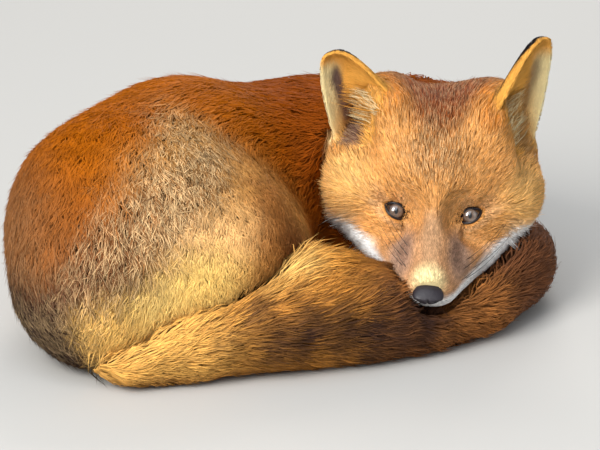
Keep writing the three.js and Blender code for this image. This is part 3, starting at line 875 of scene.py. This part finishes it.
def grow(name, chosen, count, width, rings, pull=0.5, scatter=0.25, density=None, clump=12,
         bright=0.12, stand=0.0, fly=0.07, own=None):
    """A piece of coat: count locks over the faces for which chosen is high. Locks are drawn towards their
    clump by pull and turned by scatter; a share of them, fly, strays; own is a colour of their own."""
    weight = chosen[triangles].mean(1)
    if density is not None:
        weight = weight * density[triangles].mean(1)
    weight = np.maximum(weight, 0) * area
    face = np.searchsorted(np.cumsum(weight) / weight.sum(), rng.random(count))
    face = np.minimum(face, len(weight) - 1)
    r1, r2 = np.sqrt(rng.random(count)), rng.random(count)
    corners = triangles[face]
    mix = np.stack([1 - r1, r1 * (1 - r2), r1 * r2], 1)

    def at(values):
        return np.einsum("ij...,ij->i...", values[corners], mix)

    root = at(points)
    normal = unit(at(normals))
    way = at(lie)
    side = np.cross(normal, way)
    turn = scatter * (0.6 * swell(root, 0.014, 3) + 0.5 * swell(root, 0.006, 4))
    turn += rng.normal(0, scatter * 0.6, count)
    way = unit(way * np.cos(turn)[:, None] + side * np.sin(turn)[:, None])
    side = unit(np.cross(normal, way))
    long = at(length) * rng.uniform(0.7, 1.2, count) * (1 + 0.12 * swell(root, 0.02, 5))
    cover = COVER * at(cover_depth)
    reach = root + way * long[:, None]
    found = [hide_tree.find_nearest(Vector(point)) for point in reach]
    foot = np.array([hit[0] for hit in found])
    out = np.array([hit[1] for hit in found])
    out = unit(np.where(np.sum(out * normal, axis=1, keepdims=True) > -0.2, out, normal))
    lift = cover * rng.uniform(0.55, 1.15, count) + (stand + at(flare)) * long * rng.random(count)
    stray = rng.random(count) < fly
    lift += stray * rng.uniform(0.05, 0.22, count) * long
    tip = foot + out * lift[:, None]
    middle = root + way * (long * 0.42)[:, None]
    middle = (middle + (root + tip) / 2) / 2 + normal * (cover * rng.uniform(0.45, 0.8, count))[:, None]
    # Locks draw together in clumps.
    kind = np.arange(count)
    if pull:
        leaders = np.arange(0, count, clump)
        seeds = KDTree(len(leaders))
        for index, leader in enumerate(leaders):
            seeds.insert(root[leader], index)
        seeds.balance()
        kind = leaders[[seeds.find(point)[1] for point in root]]
        close = np.clip(1 - np.linalg.norm(root - root[kind], axis=1) / (0.8 * long), 0, 1)
        draw = (tip[kind] - tip) * (pull * close * rng.uniform(0.5, 1.0, count))[:, None]
        tip = tip + draw
        middle = middle + draw * 0.35
    crimp = at(wave) * long * CRIMP
    middle = middle + side * (crimp * rng.choice([-1, 1], count) * rng.uniform(0.4, 1, count))[:, None]
    tip = tip + side * (crimp * rng.normal(0, 1.2, count))[:, None]
    tip[:, 2] = np.maximum(tip[:, 2], TIP_FLOOR)
    middle[:, 2] = np.maximum(middle[:, 2], BEND_FLOOR)

    # Each lock is a spindle: a point at the root, rings of three along a curve, and a point at the tip.
    wide = at(lock_width) * width * rng.uniform(0.75, 1.25, count) * (1 - 0.5 * stray)
    start = root - normal * ROOT_DEPTH
    bend = 2 * middle - (start + tip) / 2
    shares = np.array(RING_PLACES[rings])
    loops = [start]
    flat = rng.uniform(0, 2 * math.pi, count)
    spokes = []
    for share, girth in zip(shares, RING_GIRTHS[rings]):
        core = start * (1 - share) ** 2 + bend * (2 * share * (1 - share)) + tip * share ** 2
        for corner in range(3):
            angle = flat + corner * 2 * math.pi / 3
            spoke = side * np.cos(angle)[:, None] + normal * np.sin(angle)[:, None] * 0.8
            spokes.append(spoke)
            loops.append(core + spoke * (wide * girth / 2)[:, None])
    vertices = np.stack([*loops, tip], 1)
    size = 3 * rings + 2
    faces = [(0, 1 + (corner + 1) % 3, 1 + corner) for corner in range(3)]
    for ring in range(rings - 1):
        for corner in range(3):
            here, beside = 1 + 3 * ring + corner, 1 + 3 * ring + (corner + 1) % 3
            faces.extend([(here, beside, beside + 3), (here, beside + 3, here + 3)])
    last = 1 + 3 * (rings - 1)
    faces.extend((last + corner, last + (corner + 1) % 3, size - 1) for corner in range(3))
    every = (np.arange(count)[:, None, None] * size + np.array(faces)).reshape(-1, 3)
    mesh = bpy.data.meshes.new(name)
    mesh.vertices.add(count * size)
    mesh.vertices.foreach_set("co", vertices.astype(np.float32).ravel())
    mesh.loops.add(every.size)
    mesh.loops.foreach_set("vertex_index", every.astype(np.int32).ravel())
    mesh.polygons.add(len(every))
    mesh.polygons.foreach_set("loop_start", np.arange(0, every.size, 3, dtype=np.int32))
    mesh.update(calc_edges=True)
    mesh.polygons.foreach_set("use_smooth", np.ones(len(every), bool))
    # The coat takes the light much as the form below it does.
    lean = np.stack([normal, *[unit(spoke * (1 - NAP) + normal * NAP) for spoke in spokes],
                     unit(out * 0.8 + way * 0.2)], 1)
    mesh.normals_split_custom_set_from_vertices(unit(lean).reshape(-1, 3).tolist())

    # Darker at the root, each lock and clump a shade of its own, some with pale tips.
    base = at(colour) if own is None else np.zeros((count, 3)) + own
    under = at(root_colour) if own is None else base * 0.9
    glow = (bright + at(speckle)) * (rng.normal(0, 0.7, count) + 0.7 * np.sin(kind * 12.9898))
    glow += 1 + 0.07 * swell(root, 0.03, 6)
    pale = at(pale_tips) * (rng.random(count) < 0.55)
    end = tint(base, pale, BLEACH)
    dark = at(dark_tips) * (rng.random(count) < 0.35)
    end = tint(end, dark, SCORCH)
    tones = []
    for share in [0, *np.repeat(shares, 3), 1]:
        blend = under + step(np.full(count, share), -0.1, 0.5)[:, None] * (base - under)
        blend = blend + share ** 1.3 * (end - blend)
        tones.append(blend * np.clip(glow, 0.5, 1.6)[:, None])
    paint(mesh, np.stack(tones, 1).reshape(-1, 3))

    # On the unwrap, each lock is a small patch at its root's place.
    ring_marks = [(corner / 2, share) for share in shares for corner in range(3)]
    patch = 0.003 * np.array([(0.5, 0), *ring_marks, (0.5, 1)])
    uv = (unwrap(root, normal)[:, None, :] + patch[None]).reshape(-1, 2)
    layer = mesh.uv_layers.new(name="OFBake")
    layer.uv.foreach_set("vector", uv[every.ravel()].astype(np.float32).ravel())

    made = new_object(name, mesh)
    mesh.materials.append(pelt)
    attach(made, "root")


pelt = coat_material("pelt", 0.55)
crest = tail_share * dab(points, within("tail_middle", 0.55, 0.6, 1.0), (0.060, 0.05, 0.030), 0.6)
flare = (0.35 - 0.25 * np.sign(a)) * ruff + 0.35 * crest
cover_depth = sum(share_of[name] * COAT_DEPTH[name] for name in PARTS)
for region in (muzzle, *(share_of[name] for name in EARS)):
    cover_depth += region * (SLEEK_DEPTH - cover_depth)
lock_width = np.full(len(points), BODY_LOCK)
lock_width += (on_head + ear_share) * (HEAD_LOCK - lock_width)
lock_width += muzzle * (MUZZLE_LOCK - lock_width)
brown_side = haunch * dab(points, within("rump", 0.06, 0.36, 0.42), (0.08, 0.14, 0.09), 0.8)
tawny = on_head * (1 - whiteness)
pale_tips = 0.95 * grey_patch * (1 - 0.7 * low_band) + 0.12 * brown_side
pale_tips += 0.4 * tawny * (1 - 0.8 * muzzle) + 0.4 * forehead
speckle = 0.22 * forehead + 0.26 * grey_patch + 0.10 * tawny
dark_tips = tail_share * 0.6 + trunk * 0.03 + 0.25 * tawny * step(round_eyes, 0.013, 0.022)
bare = 1 - (round_eyes < 0.02) * fall(slit, 0.0009, 0.0013)
under_side = step(-normals[:, 2], 0.5, 0.9) * fall(points[:, 2], 0.004, 0.02)
seen = 1 - 0.8 * under_side
nose_gap = step(np.linalg.norm((head_place - [0, -84, 0]) / [12, 9, 8.5], axis=1), 0.95, 1.1)

front = on_head * fall(b, 20, 30) * bare * nose_gap * (1 - mouth_line)
for word, half in (("right", a < 0), ("left", a >= 0)):
    grow("coat_face_" + word, front * half, 30000, 1.0, 1, pull=0.4, scatter=0.2, clump=7,
         density=1 + muzzle + 2 * by_lids)
grow("coat_crown", on_head * step(b, 20, 30), 15000, 1.0, 1, pull=0.3, scatter=0.22)
grow("coat_ears", ear_share, 12000, 1.0, 1, pull=0.15, scatter=0.15, bright=0.05, fly=0.03)
for name, count, width, fly in (("neck", 10000, 1.15, 0.03), ("chest", 18000, 1.1, 0.04),
                                ("loin", 18000, 1.1, 0.10)):
    grow("coat_" + name, share_of[name] * seen, count, width, 1, pull=0.35, bright=0.08,
         fly=fly)
grow("coat_rump", share_of["rump"] * seen, 28000, 1.1, 1, pull=0.5, scatter=0.5, clump=10,
     stand=0.05, fly=0.14)
grow("coat_thigh", share_of["thigh_right"] * seen, 30000, 0.95, 1, pull=0.6, scatter=0.6,
     clump=10, fly=0.12)
grow("coat_brush_root", share_in(*TAIL[:2]) * seen, 13000, 1.1, 2, stand=0.12)
grow("coat_brush_end", share_in(*TAIL[2:]) * seen, 13000, 1.1, 2, stand=0.1)
grow("coat_stockings", share_in(*LEGS), 5000, 1.0, 1, pull=0.2)

# Long pale hairs that sweep outward across the hollow of each ear from its inner wall.
FRINGE_LENGTH = 0.021
FRINGE_DEPTH = 0.0040
fringe = np.zeros(len(points))
for name, ear in ears.items():
    aside, up, deep = ear.place(points)
    rooted = (aside > 0.15) & (aside < 0.78) & (up > 0.08) & (up < 0.46) & (deep > -0.02) & (deep < 0.012)
    rooted &= (normals @ ear.facing > 0.1) & (np.abs(normals @ ear.outward) < 0.93)
    fringe += rooted
    lie[rooted] = unit(ear.outward + 0.15 * ear.axis)
length += fringe * (FRINGE_LENGTH - length)
cover_depth += fringe * (FRINGE_DEPTH - cover_depth)
grow("coat_ear_fringe_pale", fringe, 330, 0.75, 2, pull=0.6, scatter=0.3, bright=0.06, fly=0,
     own=pigment(246, 226, 178))
grow("coat_ear_fringe_gold", fringe, 380, 0.75, 2, pull=0.5, scatter=0.4, bright=0.1, fly=0.1,
     own=pigment(214, 150, 66))


# ---- The eyes ----
# Glass eyes, painted behind their domed fronts: a dark pupil that is higher than it is wide, a grey-brown
# iris with fine spokes, and a dark ring round it. The black edges of the lids close round each.

IRIS_RADIUS = 0.0055
DOME_RISE = 0.0007          # how far the front stands above the ball
BALL_RINGS = 56             # the rings and spokes of the ball's faces
BALL_SPOKES = 72
LID_EDGE_RISE = 0.0004      # how far the edges' middle line stands above the ball, and their half width
LID_EDGE_THICK = 0.0007


def eye_paint():
    """The painted front: spokes and rings by how far a place lies from the eye's axis."""
    material = new_material("eye", {"Roughness": 0.06, "Specular IOR Level": 1.0, "Coat Weight": 1.0,
                                    "Coat Roughness": 0.02})

    def vector_node(operation, output, inputs):
        return add_node(material, "VectorMath", output, inputs, operation=operation)

    place = add_node(material, "UVMap", 0, {}, uv_map="gaze")
    middle = vector_node("SUBTRACT", 0, {0: place, 1: (0.5, 0.5, 0)})
    rings = add_node(material, "ValToRGB", "Color", {0: vector_node("LENGTH", "Value", {0: middle})})
    edge = IRIS_RADIUS / (2 * EYE_RADIUS)
    stops = ((0.0, (84, 56, 38)), (edge * 0.45, (100, 76, 58)), (edge * 0.72, (116, 100, 88)),
             (edge * 0.86, (84, 72, 68)), (edge * 0.97, (26, 20, 26)), (edge * 1.15, (20, 16, 20)),
             (edge * 1.4, (16, 13, 16)))
    elements = rings.node.color_ramp.elements
    while len(elements) < len(stops):
        elements.new(0.5)
    for element, (position, shade) in zip(elements, stops):
        element.position = position
        element.color = (*pigment(*shade), 1)
    aim = vector_node("NORMALIZE", 0, {0: middle})
    spokes = add_node(material, "TexNoise", "Fac", {"Vector": aim, "Scale": 9, "Detail": 3})
    shade = add_node(material, "MapRange", "Result", {"Value": spokes, "To Min": 0.45, "To Max": 1.45})
    iris = vector_node("SCALE", 0, {0: rings, "Scale": shade})
    slim = vector_node("LENGTH", "Value", {0: vector_node("MULTIPLY", 0, {0: middle, 1: (1.7, 1.0, 0)})})
    pupil = add_node(material, "MapRange", "Result",
                     {"Value": slim, "From Min": edge * 0.36, "From Max": edge * 0.42})
    feed_shader(material, {"Base Color": vector_node("SCALE", 0, {0: iris, "Scale": pupil})})
    return material


def plain_material(name, shade, roughness):
    return new_material(name, {"Base Color": (*shade, 1), "Roughness": roughness})


def tube(name, path, radii, sides, upright, closed=False):
    """A round tube along a path: a ring, or a rod that is closed at both ends."""
    path = np.array(path)
    count = len(path)
    radii = np.broadcast_to(radii, count)
    run = unit(np.roll(path, -1, 0) - np.roll(path, 1, 0) if closed else np.gradient(path, axis=0))
    side = unit(np.cross(run, upright))
    over = np.cross(side, run)
    angles = np.arange(sides) * 2 * math.pi / sides
    spokes = side[:, None] * np.cos(angles)[None, :, None] + over[:, None] * np.sin(angles)[None, :, None]
    vertices = (path[:, None] + spokes * radii[:, None, None]).reshape(-1, 3).tolist()
    faces = []
    for ring in range(count if closed else count - 1):
        for corner in range(sides):
            beside = (corner + 1) % sides
            ahead = (ring + 1) % count
            faces.append((ring * sides + corner, ahead * sides + corner, ahead * sides + beside,
                          ring * sides + beside))
    if not closed:
        faces.append(tuple(range(sides)))
        faces.append(tuple((count - 1) * sides + corner for corner in reversed(range(sides))))
    mesh = bpy.data.meshes.new(name)
    mesh.from_pydata(vertices, [], faces)
    work = bmesh.new()
    work.from_mesh(mesh)
    bmesh.ops.recalc_face_normals(work, faces=work.faces)
    work.to_mesh(mesh)
    work.free()
    mesh.shade_smooth()
    return new_object(name, mesh)


# The ball is built upright, its domed front on top, and then turned to look along the gaze.
level = unit(across - GAZE * (across @ GAZE))
ball_axes = np.stack([level, np.cross(GAZE, level), GAZE])
vertices = [(0.0, 0.0, EYE_RADIUS + DOME_RISE)]
for turn in np.linspace(0, math.pi, BALL_RINGS)[1:-1]:
    radius = EYE_RADIUS + DOME_RISE * fall(turn, 0.25, 0.75)
    for angle in np.arange(BALL_SPOKES) * 2 * math.pi / BALL_SPOKES:
        girth = radius * math.sin(turn)
        vertices.append((girth * math.cos(angle), girth * math.sin(angle), radius * math.cos(turn)))
vertices.append((0.0, 0.0, -EYE_RADIUS))
vertices = np.array(vertices, float)
faces = []
last = 1 + (BALL_RINGS - 3) * BALL_SPOKES
for spoke in range(BALL_SPOKES):
    beside = (spoke + 1) % BALL_SPOKES
    faces.append((0, 1 + spoke, 1 + beside))
    faces.append((len(vertices) - 1, last + beside, last + spoke))
    for here in range(1, last, BALL_SPOKES):
        below = here + BALL_SPOKES
        faces.append((here + spoke, below + spoke, below + beside, here + beside))

eye_glass = eye_paint()
lid_leather = plain_material("lid edge", (0.008, 0.006, 0.007), 0.35)
for eye in EYES:
    mesh = bpy.data.meshes.new(eye)
    mesh.from_pydata((vertices @ ball_axes + eye_centre(eye)).tolist(), [], faces)
    layer = mesh.uv_layers.new(name="gaze")
    share = vertices[:, :2] / (2 * EYE_RADIUS) + 0.5
    corners = np.empty(len(mesh.loops), np.int32)
    mesh.loops.foreach_get("vertex_index", corners)
    layer.uv.foreach_set("vector", share[corners].astype(np.float32).ravel())
    mesh.shade_smooth()
    mesh.materials.append(eye_glass)
    ball = new_object("glass_" + eye, mesh)
    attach(ball, "root")
    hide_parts(eye)

    path = []
    for height, sense in ((SLIT_UP, 1), (SLIT_DOWN, -1)):
        drop, radius = lid_arc(height)
        reach = math.asin(SLIT_HALF / radius)
        for turn in np.linspace(-reach, reach, 28)[:-1]:
            x = radius * math.sin(turn) * sense
            y = (radius * math.cos(turn) - drop) * sense
            turned = math.hypot(x, y) / EYE_RADIUS
            ray = np.array([*(np.array([x, y]) / math.hypot(x, y) * math.sin(turned)), math.cos(turned)])
            path.append((EYE_RADIUS + LID_EDGE_RISE) * ray @ eye_frame(eye) + eye_centre(eye))
    edge = tube("lid_edge_" + eye, path, LID_EDGE_THICK, 10, GAZE, closed=True)
    edge.data.materials.append(lid_leather)
    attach(edge, "root")


# ---- The nose pad ----
# Bare leather, moulded and painted: a broad wet pad with a comma-shaped nostril on each side and a groove
# down its middle, pebbled all over.

NOSE_SIZE = np.array([0.0110, 0.0074, 0.0057])
NOSE_SHIFT = np.array([0, 0.0022, -0.0006])
GROOVE = 0.0009             # depths of the groove, the nostrils and their slots, and the wings' rise
NOSTRIL = 0.0034
NOSTRIL_SLOT = 0.0016
WING = 0.0008


def press(directions, aim, widths, turn=0.0):
    """1 at the middle of an egg-shaped spot on the pad, fading to 0, by directions from its centre."""
    aim = unit(np.array(aim))
    side = unit(np.cross(aim, [0, 0, 1]))
    over = np.cross(side, aim)
    x, y = directions @ side, directions @ over
    x, y = x * math.cos(turn) + y * math.sin(turn), y * math.cos(turn) - x * math.sin(turn)
    return np.exp(-(x / widths[0]) ** 2 - (y / widths[1]) ** 2) * (directions @ aim > 0)


work = bmesh.new()
bmesh.ops.create_icosphere(work, subdivisions=6, radius=1)
nose_pad = worked_object("nose_pad", work)
facing = unit(read_points(nose_pad.data))
form = facing * NOSE_SIZE
form[:, 0] *= 1 - 0.22 * step(-facing[:, 2], 0.0, 0.9)
form[:, 1] = np.sign(form[:, 1]) * np.abs(form[:, 1] / NOSE_SIZE[1]) ** 0.8 * NOSE_SIZE[1]
form[:, 1] += 0.0030 * step(facing[:, 2], 0.2, 1.0)
groove = np.exp(-(facing[:, 0] / 0.07) ** 2) * step(-facing[:, 1], 0.0, 0.4)
groove *= fall(facing[:, 2], 0.1, 0.5)
depth = GROOVE * groove
# Painted shade: the pad is painted darker down its groove and nearly black in its nostrils and their slots.
dark = groove * 0.6
for side in (-1, 1):
    nostril = press(facing, (0.62 * side, -0.78, -0.12), (0.22, 0.17), 0.3 * side)
    slot = press(facing, (0.95 * side, -0.40, -0.30), (0.24, 0.08), -0.35 * side)
    wing = press(facing, (0.70 * side, -0.62, 0.12), (0.42, 0.34))
    depth += NOSTRIL * nostril + NOSTRIL_SLOT * slot - WING * wing
    dark = np.maximum(dark, np.clip(1.5 * np.maximum(nostril, slot), 0, 1))
form -= facing * depth[:, None]
write_points(nose_pad.data, from_head(form + in_head(centre("nose")) + NOSE_SHIFT))
nose_pad.data.shade_smooth()
paint(nose_pad.data, tint(np.zeros_like(form) + pigment(34, 28, 34), dark, pigment(6, 5, 6)))

nose_leather = coat_material("nose leather", 0.5)
place = add_node(nose_leather, "TexCoord", "Object", {})
pebbles = add_node(nose_leather, "TexVoronoi", "Distance", {"Scale": 1300, "Vector": place})
bump = add_node(nose_leather, "Bump", "Normal", {"Strength": 0.6, "Distance": 0.00025, "Height": pebbles},
                invert=True)
feed_shader(nose_leather, {"Specular IOR Level": 0.4, "Coat Weight": 0.1, "Coat Roughness": 0.3,
                           "Normal": bump})
nose_pad.data.materials.append(nose_leather)
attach(nose_pad, "root")
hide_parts("nose")


# ---- The whiskers ----
# Stiff black bristles, five on each side of the muzzle, set in its skin and swept back along the cheek.

WHISKER_THICK = 0.00023     # at the root; they taper to points
# For each whisker, in millimetres: its root's place back from the eyes (below 0, as it is ahead of them) and
# up from the side's own height, and the whisker's length.
WHISKERS = ((-62, 0, 44), (-57, -3, 52), (-52, 2, 58), (-47, -3, 62), (-42, 2, 54))
# For each side: its sense, the height of its roots in millimetres, how much of the full length its whiskers
# have, and how they rise.
WHISKER_SIDES = {"right": (-1, 4, 0.6, 0.12), "left": (1, -6, 1, -0.06)}


def joined(name, pieces):
    """One object made of several, which it replaces."""
    work = bmesh.new()
    for piece in pieces:
        work.from_mesh(piece.data)
        bpy.data.objects.remove(piece)
    return worked_object(name, work)


bristle = plain_material("whisker bristle", pigment(24, 20, 20), 0.4)
for word, (side, height, size, rise) in WHISKER_SIDES.items():
    made = []
    for behind, above, long in WHISKERS:
        inside = from_head(np.array([0, behind, above + height]) / 1000)
        hit = hide_tree.ray_cast(Vector(inside), Vector(side * across))[0]
        ahead = np.array([0.66 * side, 0.66, rise + 0.022 * above]) + rng.normal(0, 0.015, 3)
        ahead = unit(ahead) @ head_axes
        sweep = np.array([-0.06 * side, 0.40, 0.02]) @ head_axes
        run = np.linspace(-0.03, 1, 16)[:, None]
        path = np.array(hit) + long * size / 1000 * (ahead * run + sweep * run * np.abs(run))
        radii = WHISKER_THICK * (1 - 0.85 * np.clip(run[:, 0], 0, 1))
        made.append(tube("whisker", path, radii, 5, head_axes[2]))
    whiskers = joined("whiskers_" + word, made)
    whiskers.data.materials.append(bristle)
    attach(whiskers, "root")


# ---- The claws ----
# Dark horn, four to each foot, curved down to blunt points and set in the ends of the toes.

CLAW_THICK = 0.0014
CLAW_LENGTH = 0.011
CLAW_SINK = 0.004           # how deep its root lies in the toe
CLAW_RISE = 0.0015          # how far it first rises, and then bends down
CLAW_BEND = 0.0045
CLAW_FLOOR = 0.0016         # how close its middle line comes to the floor
TOE_ENDS = 0.012            # how much of a foot's front end is toes

horn = plain_material("claw horn", pigment(58, 46, 38), 0.35)
for leg, way in TOES.items():
    beside = np.cross([0, 0, 1], way)
    foot = read_points(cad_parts[leg].data)
    far = foot[foot @ way > (foot @ way).max() - TOE_ENDS]
    middle = far.mean(0)
    breadth = (far @ beside).max() - (far @ beside).min()
    tree, _ = search_tree((leg,))
    made = []
    for toe in (-1.5, -0.5, 0.5, 1.5):
        start = middle + beside * toe * breadth / 4.5 + way * 0.04
        hit = tree.ray_cast(Vector(start), Vector(-way))[0]
        run = np.linspace(0, 1, 9)[:, None]
        path = np.array(hit) - way * CLAW_SINK + way * CLAW_LENGTH * run + np.array([0, 0, CLAW_RISE]) * run
        path = path - np.array([0, 0, CLAW_BEND]) * run ** 2
        path[:, 2] = np.maximum(path[:, 2], CLAW_FLOOR)
        made.append(tube("claw", path, CLAW_THICK * (1 - 0.85 * run[:, 0] ** 1.5), 8, [0, 0, 1]))
    claws = joined("claws_" + leg, made)
    claws.data.materials.append(horn)
    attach(claws, "root")


# ---- The stage ----
# A plain pale floor, soft studio light, and the camera.

AIM = Vector((0.01255, -0.0256, 0.078))
CAMERA_RISE = math.radians(22)
CAMERA_FAR = 3.6
LAMPS = (("key", (-1.05, -1.55, 1.35), 56, 1.2, (1.0, 0.97, 0.92)),     # place, power, size and colour
         ("sky", (-0.55, -1.3, 1.9), 34, 2.2, (0.82, 0.90, 1.0)),
         ("fill", (1.5, -1.2, 1.0), 5, 1.4, (0.95, 0.98, 1.0)),
         ("rim", (0.3, 1.6, 1.3), 18, 1.0, (1.0, 0.98, 0.95)))

floor_mesh = bpy.data.meshes.new("floor")
floor_mesh.from_pydata([(-30, -30, 0), (30, -30, 0), (30, 30, 0), (-30, 30, 0)], [], [(0, 1, 2, 3)])
floor_mesh.materials.append(plain_material("pale floor", (0.5, 0.485, 0.46), 0.8))
floor = new_object("floor", floor_mesh)

for name, place, energy, size, shade in LAMPS:
    lamp = bpy.data.lights.new(name, "AREA")
    lamp.energy = energy
    lamp.size = size
    lamp.color = shade
    hung = new_object(name, lamp)
    hung.location = place
    hung.rotation_euler = (AIM - Vector(place)).to_track_quat("-Z", "Y").to_euler()
world = bpy.data.worlds.new("studio")
world.use_nodes = True
background = world.node_tree.nodes["Background"]
background.inputs["Color"].default_value = (0.9, 0.95, 1.0, 1)
background.inputs["Strength"].default_value = 0.42
bpy.context.scene.world = world

camera_data = bpy.data.cameras.new("camera")
camera_data.lens = 300
camera_data.sensor_width = 36
camera = new_object("camera", camera_data)
camera.location = AIM + CAMERA_FAR * Vector((0, -math.cos(CAMERA_RISE), math.sin(CAMERA_RISE)))
camera.rotation_euler = (math.pi / 2 - CAMERA_RISE, 0, 0)
bpy.context.scene.camera = camera
bpy.context.scene.view_settings.view_transform = "Standard"
